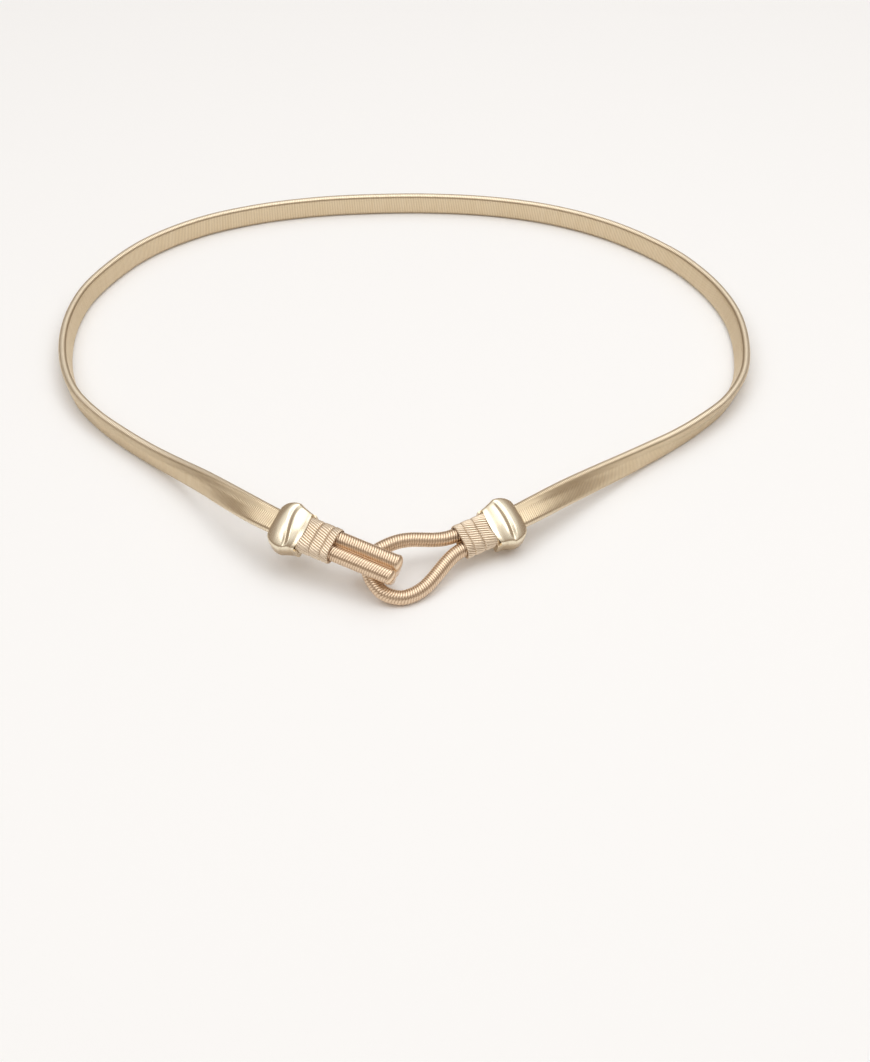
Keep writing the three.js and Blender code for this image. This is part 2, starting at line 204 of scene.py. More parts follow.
# Crown of an end cap, without its valley. Columns: distance from the lip toward the band as a
# negative number, half width, height of the crown, how far the section bows at its ends, and how
# much of the valley's slant it takes.
CAP_ROWS = [
    (-9.5, 4.75, 2.0, 0.0, 0.0),
    (-9.2, 5.5, 2.3, 0.0, 0.0),
    (-8.4, 6.7, 2.75, 0.2, 0.1),
    (-7.3, 7.5, 3.2, 0.5, 0.35),
    (-6.4, 7.85, 3.42, 0.7, 0.7),
    (-5.7, 7.95, 3.52, 0.8, 0.95),
    (-5.1, 7.95, 3.55, 0.8, 1.0),
    (-4.6, 7.8, 3.57, 0.7, 1.0),
    (-3.9, 7.6, 3.65, 0.5, 1.0),
    (-2.8, 7.25, 3.7, 0.3, 0.85),
    (-1.9, 7.0, 3.45, 0.1, 0.5),
    (-1.1, 6.75, 3.1, 0.0, 0.2),
    (-0.6, 6.6, 3.1, 0.0, 0.05),
    (0.0, 6.45, 3.15, 0.0, 0.0),
]

# Half of a cap's wall, from its back edge up. Columns: inset from the half width, and height.
CAP_WALL = [
    (0.8, -3.7),
    (0.25, -3.5),
    (0.0, -2.7),
    (0.1, -0.6),
    (0.2, CAP_CREASE),
]

# Outline of the cheek of a cap beside the sleeve. Columns: distance from the middle, and height.
EAR_ROWS = [
    (3.6, -3.6),
    (4.8, -3.6),
    (5.9, -3.6),
    (6.4, -3.2),
    (6.5, -2.4),
    (6.5, -1.2),
    (6.45, 0.0),
    (6.3, 0.7),
]

# Rings along the cheek. Columns: distance past the lip, and share of the whole outline.
EAR_STATIONS = [
    (-EAR_ROOT, CLOSED_SHARE),
    (-EAR_ROOT, 1.0),
    (EAR_LENGTH - EAR_ROUNDING, 1.0),
    (EAR_LENGTH - EAR_ROUNDING / 3, 0.85),
    (EAR_LENGTH, 0.5),
    (EAR_LENGTH, CLOSED_SHARE),
]

# Bend of the hook behind the tips. Columns: x and z of the outer face, x and z of the inner
# face, and half width of the pair of bars there.
HOOK_BEND_ROWS = [
    (19.9, 2.1, 18.6, -1.7, 4.7),
    (20.6, 1.2, 18.75, -1.85, 4.5),
    (20.75, 0.0, 18.75, -2.1, 4.15),
    (20.3, -2.2, 18.35, -2.9, 3.5),
    (19.3, -5.6, 17.4, -5.6, 2.7),
    (18.4, -7.5, 16.9, -6.4, 2.4),
    (17.2, -8.2, 16.2, -6.7, 2.3),
    (15.6, -8.3, 15.5, -6.75, 2.3),
    (7.4, -8.3, 7.4, -6.75, 2.3),
    (6.2, -8.1, 6.2, -6.9, 2.0),
    (5.7, -7.7, 5.7, -7.2, 1.6),
]

# Centre line of the teardrop loop. Columns: distance from the mouth, and distance of the upper
# and of the lower strand from the middle line.
LOOP_ROWS = [
    (SHANK_END_X, 2.4, 2.4),
    (-6.0, 2.4, 2.4),
    (-1.5, 2.4, 2.4),
    (1.2, 2.5, 2.5),
    (4.0, 2.9, 3.0),
    (7.0, 3.9, 4.1),
    (10.0, 5.3, 5.5),
    (13.2, 6.75, 7.0),
    (16.8, 7.75, 8.35),
    (20.5, 8.0, 8.9),
    (24.0, 7.7, 8.5),
    (26.8, 6.5, 6.9),
    (28.8, 4.3, 4.5),
    (29.6, 1.4, 1.6),
]

# How the ribs of each bar of the hook run. Columns: side, slant in mm for each radian round the
# bar, and the place of the first crest.
HOOK_BARS = [
    (1, 0.58, -0.01),
    (-1, 0.42, 0.55),
]

# Colours of the sky. Columns: height as the sky's own share, and colour.
SKY_STOPS = [
    (0.48, (0.37, 0.31, 0.26, 1)),
    (0.82, (0.98, 0.98, 0.98, 1)),
]

# The soft boxes, in metres. Columns: name, place, the point that it faces, width and depth, glow.
SOFT_BOXES = [
    ("overhead_box", (0.12, 0.05, 0.9), (0, 0, 0), (0.8, 0.6), 1.1),
    ("left_box", (-0.5, -0.35, 0.82), (0, -0.05, 0), (0.45, 0.45), 1.4),
    ("right_box", (0.5, -0.25, 0.82), (0, -0.05, 0), (0.4, 0.4), 1.35),
]

# The photograph's view: 40 degrees above the surface, 600 mm from the point that it looks at
PHOTO_WIDTH = 870
PHOTO_HEIGHT = 1062
PIXELS_PER_MM = 3.3
VIEW_ELEVATION = 40.0
VIEW_DISTANCE = 600.0
SENSOR_MM = 36.0


# Curves

def centripetal_curve(points, steps):
    """Points of a smooth curve through the given ones, with as many steps from each to the next."""
    points = np.asarray(points, float)
    first = 2 * points[0] - points[1]
    last = 2 * points[-1] - points[-2]
    padded = np.vstack([first, points, last])
    spans = len(points) - 1
    where = np.linspace(0, spans, spans * steps + 1)
    index = np.minimum(where.astype(int), spans - 1)
    local = (where - index)[:, None]
    p0, p1, p2, p3 = (padded[index + k] for k in range(4))
    before, here, after = (root_of_gap(a, b) for a, b in ((p0, p1), (p1, p2), (p2, p3)))
    start = (p1 - p0) / before - (p2 - p0) / (before + here) + (p2 - p1) / here
    end = (p2 - p1) / here - (p3 - p1) / (here + after) + (p3 - p2) / after
    start, end = start * here, end * here
    square, cube = local ** 2, local ** 3
    out = (2 * cube - 3 * square + 1) * p1 + (cube - 2 * square + local) * start
    return out + (3 * square - 2 * cube) * p2 + (cube - square) * end


def root_of_gap(first, second):
    """Square root of the distance between points, which paces a centripetal curve."""
    return np.sqrt(np.maximum(np.linalg.norm(first - second, axis=1), TINY))[:, None]


def smooth_rows(rows, steps):
    """Rows of a table with extra rows between them on a smooth curve."""
    rows = np.asarray(rows, float)
    padded = np.vstack([2 * rows[0] - rows[1], rows, 2 * rows[-1] - rows[-2]])
    spans = len(rows) - 1
    where = np.linspace(0, spans, spans * steps + 1)
    index = np.minimum(where.astype(int), spans - 1)
    t = (where - index)[:, None]
    p0, p1, p2, p3 = (padded[index + k] for k in range(4))
    start, end = (p2 - p0) / 2, (p3 - p1) / 2
    out = (2 * t ** 3 - 3 * t ** 2 + 1) * p1 + (t ** 3 - 2 * t ** 2 + t) * start
    return out + (3 * t ** 2 - 2 * t ** 3) * p2 + (t ** 3 - t ** 2) * end


def along(line, lengths, at):
    """Values of a sampled line at the given distances along it."""
    return np.stack([np.interp(at, lengths, line[:, k]) for k in range(line.shape[1])], axis=-1)


def distances(line):
    """Distance along a sampled line up to each of its points."""
    return np.concatenate([[0], np.cumsum(np.linalg.norm(np.diff(line, axis=0), axis=1))])


def unit(vectors):
    return vectors / np.linalg.norm(vectors, axis=-1, keepdims=True)


def smooth_step(low, high, value):
    share = np.clip((value - low) / (high - low), 0, 1)
    return share * share * (3 - 2 * share)


def rib_height(phase):
    """Height of a round rib, 0 in the groove and 1 on the crest, for a phase in ribs."""
    return np.sqrt(np.abs(np.sin(np.pi * phase)))


# The clasp's own frames

def axes_of_half(half):
    heading, fall, lean = (math.radians(half[name]) for name in ("heading", "fall", "lean"))
    side = half["side"]
    forward = np.array([
        side * math.cos(fall) * math.cos(heading),
        -math.cos(fall) * math.sin(heading),
        -math.sin(fall),
    ])
    outward = np.array([-side * math.sin(heading), -math.cos(heading), 0])
    upright = np.cross(outward, forward) * side
    upright /= np.linalg.norm(upright)
    across = upright * math.cos(lean) + outward * math.sin(lean)
    face = outward * math.cos(lean) - upright * math.sin(lean)
    return forward, across, face


def place(half, local):
    """Points of a clasp half, given along it, across it and out of its face, in the drawing."""
    forward, across, face = axes_of_half(half)
    basis = np.stack([forward, across * half["side"], face])
    return np.array(half["mouth"]) + np.asarray(local) @ basis


def point_on_axis(half, distance):
    return place(half, [distance, 0, 0])


# Outlines

def stadium_by_arc(arc, half_width, half_thickness):
    """Points of an oval with two straight sides, at distances along it from its upper corner."""
    straight = 2 * (half_width - half_thickness)
    bend = math.pi * half_thickness
    total = 2 * (straight + bend)
    arc = np.mod(arc, total)
    flip = np.where(arc >= straight + bend, -1.0, 1.0)
    arc = np.mod(arc, straight + bend)
    turn = np.maximum(arc - straight, 0) / half_thickness
    y = np.where(arc < straight, straight / 2 - arc, -straight / 2 - half_thickness * np.sin(turn))
    z = half_thickness * np.cos(turn)
    return flip * y, flip * z


def stadium_length(half_width, half_thickness):
    return 4 * (half_width - half_thickness) + 2 * math.pi * half_thickness


def stadium_by_angle(angle, half_width, half_thickness):
    """Points of the same oval, in the given directions from its middle."""
    straight = half_width - half_thickness
    cos, sin = np.cos(angle), np.sin(angle)
    far = straight * np.abs(cos)
    reach = far + np.sqrt(np.maximum(far ** 2 - straight ** 2 + half_thickness ** 2, 0))
    flat = half_thickness / np.maximum(np.abs(sin), TINY)
    on_flat = np.abs(flat * cos) <= straight
    reach = np.where(on_flat, flat, reach)
    return reach * cos, reach * sin


# Meshes

def mesh_piece(name, points, faces, fields=None):
    """A smooth mesh object from points in the drawing, in millimetres, and four-sided faces."""
    mesh = bpy.data.meshes.new(name)
    points = (np.asarray(points, float).reshape(-1, 3) - OUTLINE_MIDDLE) * MM
    faces = np.asarray(faces, np.int32)
    mesh.vertices.add(len(points))
    mesh.vertices.foreach_set("co", points.astype(np.float32).ravel())
    mesh.loops.add(faces.size)
    mesh.loops.foreach_set("vertex_index", faces.ravel())
    mesh.polygons.add(len(faces))
    mesh.polygons.foreach_set("loop_start", np.arange(0, faces.size, faces.shape[1], dtype=np.int32))
    mesh.update(calc_edges=True)
    mesh.validate()
    for field, values in (fields or {}).items():
        layer = mesh.attributes.new(field, "FLOAT", "POINT")
        layer.data.foreach_set("value", np.asarray(values, np.float32).ravel())
    mesh.shade_smooth()
    piece = bpy.data.objects.new(name, mesh)
    bpy.context.scene.collection.objects.link(piece)
    return piece


def ring_faces(rings, count, closed=False):
    """Faces between neighbouring rings of a skin, and from its last ring to its first if closed."""
    i = np.arange(rings if closed else rings - 1)[:, None]
    j = np.arange(count)[None, :]
    here, there = i * count, ((i + 1) % rings) * count
    beside = (j + 1) % count
    corners = [here + j, here + beside, there + beside, there + j]
    return np.stack([np.broadcast_to(c, (len(i), count)) for c in corners], axis=-1).reshape(-1, 4)


def end_rings(ring, steps=3):
    """Rings that close the end of a skin by shrinking toward its middle."""
    middle = ring.mean(axis=0)
    shares = np.linspace(1, CLOSED_SHARE, steps + 1)[1:]
    return [middle + (ring - middle) * share for share in shares]


def facing_out(points, faces):
    """The same faces, turned if they face into the body."""
    corners = points.reshape(-1, 3)[faces]
    across_face = np.cross(corners[:, 2] - corners[:, 0], corners[:, 3] - corners[:, 1])
    centre = corners.mean(axis=1)
    volume = np.einsum("ij,ij->", centre - centre.mean(axis=0), across_face)
    return faces if volume > 0 else faces[:, ::-1]


# The wound band

def band_centre_line():
    """Samples of the band's centre line with its lean, and the distance along it."""
    ends = [BAND_END_X, BAND_END_X - BAND_IN_CAP / 2, BAND_END_X - BAND_IN_CAP,
            BAND_END_X - BAND_IN_CAP - BAND_LEAD_OUT]
    rows = [(*point_on_axis(LEFT_HALF, x), LEFT_HALF["lean"]) for x in ends]
    rows += BAND_ROWS
    rows += [(*point_on_axis(RIGHT_HALF, x), RIGHT_HALF["lean"]) for x in reversed(ends)]
    rows = np.array(rows, float)
    line = centripetal_curve(rows[:, :3], BAND_LINE_STEPS)
    lean = smooth_rows(rows[:, 3:], BAND_LINE_STEPS)[:, 0]
    return line, np.radians(lean), distances(line)


def band_frames(line, lean, lengths, at):
    """Centre, outward face and upward edge of the band at distances along it."""
    centre = along(line, lengths, at)
    ahead = along(line, lengths, np.minimum(at + BAND_TANGENT_STEP, lengths[-1]))
    behind = along(line, lengths, np.maximum(at - BAND_TANGENT_STEP, 0))
    tangent = unit(ahead - behind)
    turn = np.interp(at, lengths, lean)[..., None]
    outward = np.stack([-tangent[..., 1], tangent[..., 0], 0 * turn[..., 0]], axis=-1)
    outward = unit(outward)
    upright = unit(np.cross(tangent, outward))
    across = upright * np.cos(turn) + outward * np.sin(turn)
    face = outward * np.cos(turn) - upright * np.sin(turn)
    return centre, face, across


def band_outline():
    """Section of the flattened coil: points out of its face and across it, and their arc share."""
    half_width, round_edge = BAND_WIDTH / 2, BAND_THICKNESS / 2
    flat = half_width - round_edge
    points = []
    for end in (1, -1):
        for k in range(BAND_EDGE_STEPS):
            turn = math.pi * k / BAND_EDGE_STEPS
            across = flat + round_edge * math.sin(turn)
            points.append((end * round_edge * math.cos(turn), end * across))
        for k in range(BAND_FACE_STEPS):
            share = k / BAND_FACE_STEPS
            points.append((-end * round_edge, end * flat * (1 - 2 * share)))
    points = np.array(points)
    closed = np.vstack([points, points[:1]])
    arc = distances(closed)
    return points, arc[:-1] / arc[-1]


def coil_band():
    """The band as it is wound: three wires side by side, turn by turn, over its whole length."""
    line, lean, lengths = band_centre_line()
    outline, share = band_outline()
    count = len(outline)
    rings = int(lengths[-1] / WIRE_PITCH * STEPS_PER_WIRE)
    pitch = lengths[-1] / rings * STEPS_PER_WIRE
    wire = np.arange(rings)[:, None] / STEPS_PER_WIRE
    at = (wire - PARALLEL_WIRES * share[None, :]) * pitch
    centre, face, across = band_frames(line, lean, lengths, np.clip(at, 0, lengths[-1]))
    height = rib_height(wire + 0 * share)
    inset = WIRE_DEPTH * (1 - height)[..., None]
    flat = BAND_WIDTH / 2 - BAND_THICKNESS / 2
    core = np.clip(outline[:, 1], -flat, flat)
    outward = unit(np.stack([outline[:, 0], outline[:, 1] - core], axis=1))
    x = outline[None, :, :1] - inset * outward[None, :, :1]
    y = outline[None, :, 1:] - inset * outward[None, :, 1:]
    points = centre + face * x + across * y
    chance = np.random.default_rng(BAND_TONE_SEED)
    tone = np.repeat(chance.uniform(-1, 1, rings // STEPS_PER_WIRE + 1), STEPS_PER_WIRE)[:rings]
    tone = np.repeat(tone[:, None], count, axis=1)
    # Share across the band, which places the painted highlight and the painted dark line at its edges.
    across_share_for_painted_rim = np.repeat((np.abs(outline[:, 1]) / (BAND_WIDTH / 2))[None, :], rings, axis=0)
    faces = coil_faces(rings, count)
    # The groove field holds the painted shade between the turns, the edge field places the painted
    # highlight and dark line at the edges, and the tone field is a real unevenness from turn to turn.
    fields = {"groove": 1 - height, "tone": tone, "edge": across_share_for_painted_rim}
    return mesh_piece("wound_coil_band", points, facing_out(points, faces), fields)


def coil_faces(rings, count):
    """Faces of the coil: past the last point of a ring comes the first, three wires further on."""
    skip = PARALLEL_WIRES * STEPS_PER_WIRE
    i = np.arange(rings - 1 - skip)[:, None]
    j = np.arange(count)[None, :]
    beside = np.where(j + 1 < count, j + 1, skip * count)
    here, there = i * count, (i + 1) * count
    corners = [here + j, here + beside, there + beside, there + j]
    return np.stack([np.broadcast_to(c, (len(i), count)) for c in corners], axis=-1).reshape(-1, 4)


# The end caps

def cap_section(from_lip, half_width, crown, bow, slanted, valley_place, slant):
    """One ring round a cap: smooth over the crown, with an edge where the side wall begins."""
    wall = [(half_width - inset, z) for inset, z in CAP_WALL]
    turn = np.linspace(math.pi / 2, 0, CAP_CROWN_STEPS)[1:]
    share = np.sin(turn)
    edge = wall[-1][0]
    fall = CAP_GENTLE_FALL * share ** 2 + (1 - CAP_GENTLE_FALL) * share ** CAP_RIM_TIGHTNESS
    rise = (crown - CAP_CREASE) * (1 - fall)
    fade = 1 - smooth_step(*VALLEY_FADE, share)
    rise = rise - VALLEY_DEPTH * valley(from_lip - valley_place) * fade
    side = np.vstack([wall, np.column_stack([edge * share, CAP_CREASE + rise])])
    outline = np.vstack([side, side[-2::-1] * [-1, 1]])
    outline = np.vstack([[(0, outline[0, 1])], outline])
    reach = (outline[:, 0] / half_width) ** 2
    front = smooth_step(*CAP_FRONT, outline[:, 1])
    lip_bow = LIP_BOW * (1 - reach) * smooth_step(-LIP_BOW_REACH, 0, from_lip) * front
    skew = slant * slanted * outline[:, 0] * (1 - reach ** 2) * front
    return np.column_stack([LIP_X + from_lip + bow * reach + lip_bow + skew, outline])


def valley(from_middle):
    """Depth of the valley across a cap, from 0 to 1: steep toward the band, easy toward the lip."""
    steep = smooth_step(-VALLEY_STEEP_SIDE, 0.0, from_middle)
    return steep * (1 - smooth_step(0.0, VALLEY_EASY_SIDE, from_middle))


def socket_ring(ring, x, half_width, half_thickness):
    """A ring on the wall of an oval socket, with its points in line with those of a cap's ring."""
    angle = np.arctan2(ring[:, 2], ring[:, 1])
    y, z = stadium_by_angle(angle, half_width, half_thickness)
    return np.column_stack([np.full(len(ring), x), y, z])


def end_cap(name, half, shank_half_width, shank_half_thickness, valley_place, slant, aside):
    """A polished cast cap: socket of the band, crown with its valley and cove, lip, shank socket."""
    rows = smooth_rows(CAP_ROWS, CAP_ROW_STEPS)
    crown = [cap_section(*row, valley_place, slant) for row in rows]
    back_end, lip = crown[0], crown[-1]
    band_half = (BAND_WIDTH / 2 + PLAY, BAND_THICKNESS / 2 + PLAY)
    shank_half = (shank_half_width + PLAY, shank_half_thickness + PLAY)
    mouth = socket_ring(back_end, LIP_X - CAP_LENGTH, *band_half)
    floor = socket_ring(back_end, BAND_END_X + PLAY, *band_half)
    hole = socket_ring(lip, LIP_X, *shank_half)
    hole[:, 0] = lip[:, 0] - LIP_FACE_INSET
    stop = socket_ring(lip, SHANK_END_X - PLAY, *shank_half)
    before, after = end_rings(floor)[::-1] + [floor, mouth], [hole, stop] + end_rings(stop)
    rings = np.array(before + crown + after)
    from_lip = np.concatenate([np.full(len(before), -CAP_LENGTH), rows[:, 0], np.zeros(len(after))])
    faces = [facing_out(rings, ring_faces(*rings.shape[:2]))]
    # The groove field of the cap holds its painted shade.
    points, groove = [rings.reshape(-1, 3)], [cap_painted_shade(rings, from_lip, valley_place).ravel()]
    for side in (1, -1):
        ear = cap_ear(side, shank_half_width, shank_half_thickness)
        start = sum(len(p) for p in points)
        faces.append(facing_out(ear, ring_faces(*ear.shape[:2])) + start)
        points.append(ear.reshape(-1, 3))
        # Painted shade: the cheeks are shaded evenly between the cap and the sleeve.
        groove.append(np.full(len(points[-1]), EAR_PAINTED_SHADE))
    fields = {"groove": np.concatenate(groove)}
    points = np.vstack(points) + [0, aside, 0]
    piece = mesh_piece(name, place(half, points), np.vstack(faces), fields)
    piece.data.set_sharp_from_angle(angle=math.radians(CAP_SHARP_DEGREES))
    return piece


def cap_painted_shade(rings, from_lip, valley_place):
    """How much painted shade lies on a cap, from 0 to 1: in the valley, before the lip, on the band
    side, on the low wall.
    """
    from_valley = from_lip - valley_place
    from_cove = from_valley - LIP_PAINTED_SHADE_FROM_VALLEY
    in_valley = VALLEY_PAINTED_SHADE * np.exp(-(from_valley / VALLEY_PAINTED_SHADE_WIDTH) ** 2)
    before_lip = LIP_PAINTED_SHADE * np.exp(-(from_cove / LIP_PAINTED_SHADE_WIDTH) ** 2)
    toward_band = BAND_SIDE_PAINTED_SHADE * (1 - smooth_step(*BAND_SIDE_PAINTED_SHADE_ENDS, from_lip))
    low = 1 - smooth_step(*WALL_PAINTED_SHADE_HEIGHTS, rings[..., 2])
    return np.clip((in_valley + before_lip + toward_band)[:, None] + low, 0, 1)


def cap_ear(side, shank_half_width, shank_half_thickness):
    """The small cheek of a cap beside the sleeve, between its square outline and the sleeve."""
    outer = smooth_rows(EAR_ROWS, 3)
    angle = np.arctan2(outer[:, 1], outer[:, 0])
    room = PLAY + SLEEVE_WALL - SLEEVE_NARROWER + TURN_BULGE + EAR_GAP
    inner = stadium_by_angle(angle, shank_half_width + room, shank_half_thickness + room)
    outline = np.vstack([outer, np.column_stack(inner)[::-1]])
    outline[:, 0] *= side
    centre = np.vstack([(outer + np.column_stack(inner)) / 2] * 2)
    count = len(outer)
    centre[count:] = centre[:count][::-1]
    centre[:, 0] *= side
    rings = []
    for x, share in EAR_STATIONS:
        flat = centre + (outline - centre) * share
        rings.append(np.column_stack([np.full(len(flat), LIP_X + x), flat]))
    return np.array(rings)


# The knotted sleeves

def sleeve(name, half, shank_half_width, shank_half_thickness, ribs, twist, bow, aside):
    """Three turns of ribbed cord round the two strands. The twist slants the ribs of a turn."""
    half_width = shank_half_width + PLAY + SLEEVE_WALL - SLEEVE_NARROWER
    half_thickness = shank_half_thickness + PLAY + SLEEVE_WALL
    flat = half_width - half_thickness
    perimeter = stadium_length(half_width, half_thickness)
    steps = ribs * SLEEVE_STEPS_PER_RIB
    base_arc = np.arange(steps) / steps * perimeter
    rings, groove = [], []
    turns = len(SLEEVE_SEAMS) - 1
    for turn in range(turns):
        height = rib_height(np.arange(steps) / SLEEVE_STEPS_PER_RIB + turn / 2)
        for k in range(SLEEVE_STEPS_PER_TURN + (turn == turns - 1)):
            lean = -math.pi / 2 + math.pi * k / SLEEVE_STEPS_PER_TURN
            x, round_top = turn_profile(turn, lean)
            arc = base_arc + twist * lean / (math.pi / 2)
            y, z = stadium_by_arc(arc, half_width, half_thickness)
            outward = unit(np.column_stack([y - np.clip(y, -flat, flat), z]))
            front = smooth_step(*SLEEVE_FRONT, z / half_thickness)
            depth = SEAM_RIB_DEPTH + SWELL_RIB_DEPTH * round_top
            swell = TURN_BULGE * round_top - depth * (1 - height) * front
            skin = np.column_stack([y + aside, z]) + outward * swell[:, None]
            shift = (1 - (y / half_width) ** 2) * front * sleeve_bow(x, bow)
            rings.append(np.column_stack([x + shift, skin]))
            # Painted shade in the grooves between the ribs and in the seams between the turns.
            in_seam = (1 - round_top) ** 2
            groove.append(np.clip(np.maximum((1 - height) * front, in_seam), 0, 1))
    for ring in sleeve_hole(base_arc / perimeter, shank_half_width, shank_half_thickness):
        rings.append(ring)
        # The wall of the hole gets full painted shade.
        groove.append(np.ones(steps))
    rings = np.array(rings)
    faces = facing_out(rings, ring_faces(*rings.shape[:2], closed=True))
    return mesh_piece(name, place(half, rings.reshape(-1, 3)), faces, {"groove": np.array(groove)})


def turn_profile(turn, lean):
    """Where a ring of a turn lies along the sleeve, and how full it is, from 0 at a seam to 1."""
    start, end = SLEEVE_SEAMS[turn], SLEEVE_SEAMS[turn + 1]
    v = math.sin(lean)
    roundness = FIRST_EDGE_ROUNDNESS if turn == 0 and v < 0 else TURN_ROUNDNESS
    return start + (0.5 + 0.5 * v) * (end - start), math.sqrt(1 - abs(v) ** roundness)


def sleeve_bow(x, bow):
    """How far the middle of the front lies ahead: the first turn follows the lip, the seams bow."""
    follows_lip = 1 - smooth_step(SLEEVE_SEAMS[0], SLEEVE_SEAMS[1], x)
    share = (x - SLEEVE_SEAMS[0]) / (SLEEVE_SEAMS[-1] - SLEEVE_SEAMS[0])
    return bow * math.sin(math.pi * min(max(share, 0), 1)) + LIP_BOW * follows_lip


def sleeve_hole(arc_share, shank_half_width, shank_half_thickness):
    """Rings of the wall of a sleeve's hole, from its mouth back to the cap."""
    size = (shank_half_width + PLAY, shank_half_thickness + PLAY)
    y, z = stadium_by_arc(arc_share * stadium_length(*size), *size)
    places = np.linspace(SLEEVE_SEAMS[-1], SLEEVE_SEAMS[0], SLEEVE_HOLE_RINGS)
    return [np.column_stack([np.full(len(y), x), y, z]) for x in places]


# The hook

def hook_rows():
    """Sections of the hook. Columns: x and z of the middle, direction of the face in x and z,
    lobe radius, spread of the lobes, front thickness, back thickness, and where its ribs count."""
    radius = HOOK_BAR / 2 - RIB_DEPTH
    flat = radius * BACK_FLATTENING
    spread = HOOK_SPACING / 2
    begin = HOOK_RIBS_FADE_IN[0]
    ribbed = np.arange(begin, HOOK_STRAIGHT_TO, HOOK_PITCH / STEPS_PER_RIB)
    hidden = np.linspace(SHANK_END_X, begin - HOOK_HIDDEN_GAP, HIDDEN_RINGS)
    places = [*hidden, *ribbed, HOOK_STRAIGHT_TO]
    rows = [(x, 0, 0, 1, radius, spread, radius, flat, x) for x in places]
    bend = [rows.pop()]
    for outer_x, outer_z, inner_x, inner_z, half_width in HOOK_BEND_ROWS:
        thick = math.hypot(outer_x - inner_x, outer_z - inner_z) / 2
        up_x, up_z = (outer_x - inner_x) / (2 * thick), (outer_z - inner_z) / (2 * thick)
        middle = (outer_x + inner_x) / 2, (outer_z + inner_z) / 2
        place_of_ribs = max(outer_x, bend[-1][-1]) + HOOK_BEND_LEAST_STEP
        bend.append((*middle, up_x, up_z, half_width / 2, half_width / 2, thick, thick, place_of_ribs))
    return np.vstack([rows, smooth_rows(bend, HOOK_BEND_STEPS)])


def hook_bar(row, turns, side, slant, first):
    """One bar's part of a section of the hook, and how deep its points lie between the ribs."""
    x, z, up_x, up_z, lobe, spread, thick, back, at = row
    height = rib_height((at - first + slant * (math.pi / 2 - turns)) / HOOK_PITCH + 0.5)
    ends = smooth_step(*HOOK_RIBS_FADE_IN, at) * (1 - smooth_step(*HOOK_RIBS_FADE_OUT, at))
    ribbed = smooth_step(*RIB_FRONT, np.sin(turns)) * ends
    ridge = RIB_DEPTH * (height * ribbed + (1 - ribbed) * PLAIN_SKIN_SHARE)
    cosine = np.cos(turns)
    y = spread + (lobe + ridge) * np.sign(cosine) * np.abs(cosine) ** HOOK_SIDE_FLATTENING
    rise = (np.where(turns < 0, back, thick) + ridge) * np.sin(turns)
    return np.column_stack([x + rise * up_x, side * y, z + rise * up_z]), (1 - height) * ribbed


def hook():
    """Two ribbed bars side by side, whose ribs slant toward each other, bent back at the tips."""
    crease = math.radians(HOOK_CREASE_DEGREES)
    turns = np.linspace(-crease, crease, HOOK_SECTION_POINTS)
    rings, groove = [], []
    for row in hook_rows():
        (upper, upper_groove), (lower, lower_groove) = (hook_bar(row, turns, *bar) for bar in HOOK_BARS)
        rings.append(np.vstack([upper, lower[::-1]]))
        # The groove field holds the painted shade between the ribs.
        groove.append(np.concatenate([upper_groove, lower_groove[::-1]]))
    return bar_piece("double_hook", LEFT_HALF, rings, groove)


def bar_piece(name, half, rings, groove):
    """A bar's mesh from its rings, closed at both ends."""
    first, last = end_rings(rings[0])[::-1], end_rings(rings[-1])
    groove = [groove[0]] * len(first) + groove + [groove[-1]] * len(last)
    rings = np.array(first + rings + last)
    faces = facing_out(rings, ring_faces(*rings.shape[:2]))
    return mesh_piece(name, place(half, rings.reshape(-1, 3)), faces, {"groove": np.array(groove)})


# The loop

def loop_places(total):
    """Distances along the loop's bar: close together where it is ribbed, few where it is hidden."""
    hidden = -LIP_X
    begin, end = hidden - LOOP_RIBS_LEAD, total - hidden + LOOP_RIBS_LEAD
    ribbed = np.arange(begin, end, LOOP_PITCH / STEPS_PER_RIB)
    first = np.linspace(0, begin - LOOP_RIBS_LEAD, HIDDEN_RINGS)
    last = np.linspace(end + LOOP_RIBS_LEAD, total, HIDDEN_RINGS)
    return np.concatenate([first, ribbed, last])


def loop():
    """One ribbed bar bent to a teardrop, with its two ends side by side in the right sleeve."""
    upper = [(x, -y, 0) for x, y, _ in LOOP_ROWS]
    lower = [(x, y, 0) for x, _, y in reversed(LOOP_ROWS)]
    line = centripetal_curve(upper + lower, LOOP_LINE_STEPS)
    lengths = distances(line)
    total, hidden = lengths[-1], -LIP_X
    at = loop_places(total)
    centre = along(line, lengths, at)
    ahead = along(line, lengths, np.minimum(at + LOOP_TANGENT_STEP, total))
    tangent = unit(ahead - along(line, lengths, np.maximum(at - LOOP_TANGENT_STEP, 0)))
    side = np.stack([-tangent[:, 1], tangent[:, 0], 0 * at], axis=1)
    turns = np.linspace(0, 2 * math.pi, LOOP_SECTION_POINTS, endpoint=False)
    phase = (at[:, None] - hidden - LOOP_TWIST * np.cos(turns)[None, :]) / LOOP_PITCH
    ends = smooth_step(*LOOP_RIBS_FADE_IN, np.minimum(at - hidden, total - hidden - at))[:, None]
    ribbed = smooth_step(*RIB_FRONT, np.sin(turns))[None, :] * ends
    height = rib_height(phase)
    low = LOOP_BAR / 2 - RIB_DEPTH
    radius = low + RIB_DEPTH * (height * ribbed + (1 - ribbed) * PLAIN_SKIN_SHARE)
    points = centre[:, None, :] + side[:, None, :] * (radius * np.cos(turns))[..., None]
    points[..., 2] += np.where(np.sin(turns) > 0, radius, low * BACK_FLATTENING) * np.sin(turns)
    # The groove field holds the painted shade between the ribs.
    return bar_piece("teardrop_loop", RIGHT_HALF, list(points), list((1 - height) * ribbed))


# Finishes

